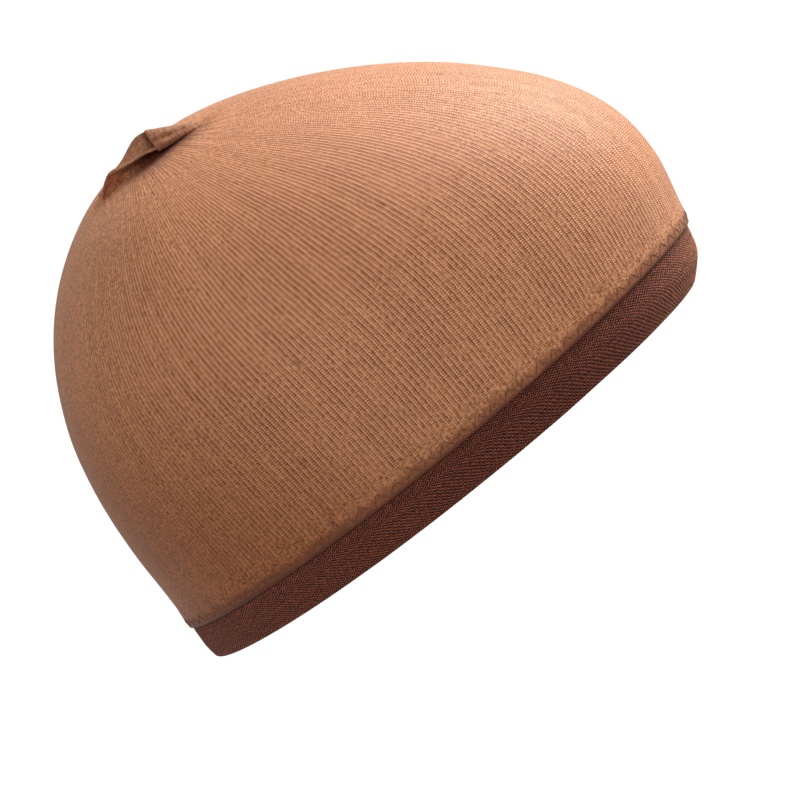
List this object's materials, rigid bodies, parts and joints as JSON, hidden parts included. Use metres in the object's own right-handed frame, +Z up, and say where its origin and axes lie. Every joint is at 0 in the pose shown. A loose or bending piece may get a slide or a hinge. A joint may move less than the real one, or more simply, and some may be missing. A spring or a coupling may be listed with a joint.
{
  "type": "wig cap",
  "caption": "Stocking-knit wig cap: a rounded stretch crown gathered into a short closing seam, on a wide elastic band that slants from the forehead down to the nape.",
  "frame": {"origin": "middle of the rim's opening, where the cap sits on a head", "axes": "+Z up and -Y forward as the cap is worn on an upright head, +X to the wearer's left; the rim slopes 38 degrees down from the forehead to the nape"},
  "size_m": [0.1502, 0.1855, 0.1715],
  "materials": {
    "crown_knit": "fine ribbed stretch knit with a faint nylon sheen, light brown",
    "band_elastic": "matt crimped elastic knit, dark brown"
  },
  "bodies": {
    "root": {"crown": "crown_knit", "band": "band_elastic", "closing_seam": "crown_knit"}
  },
  "joints": []
}
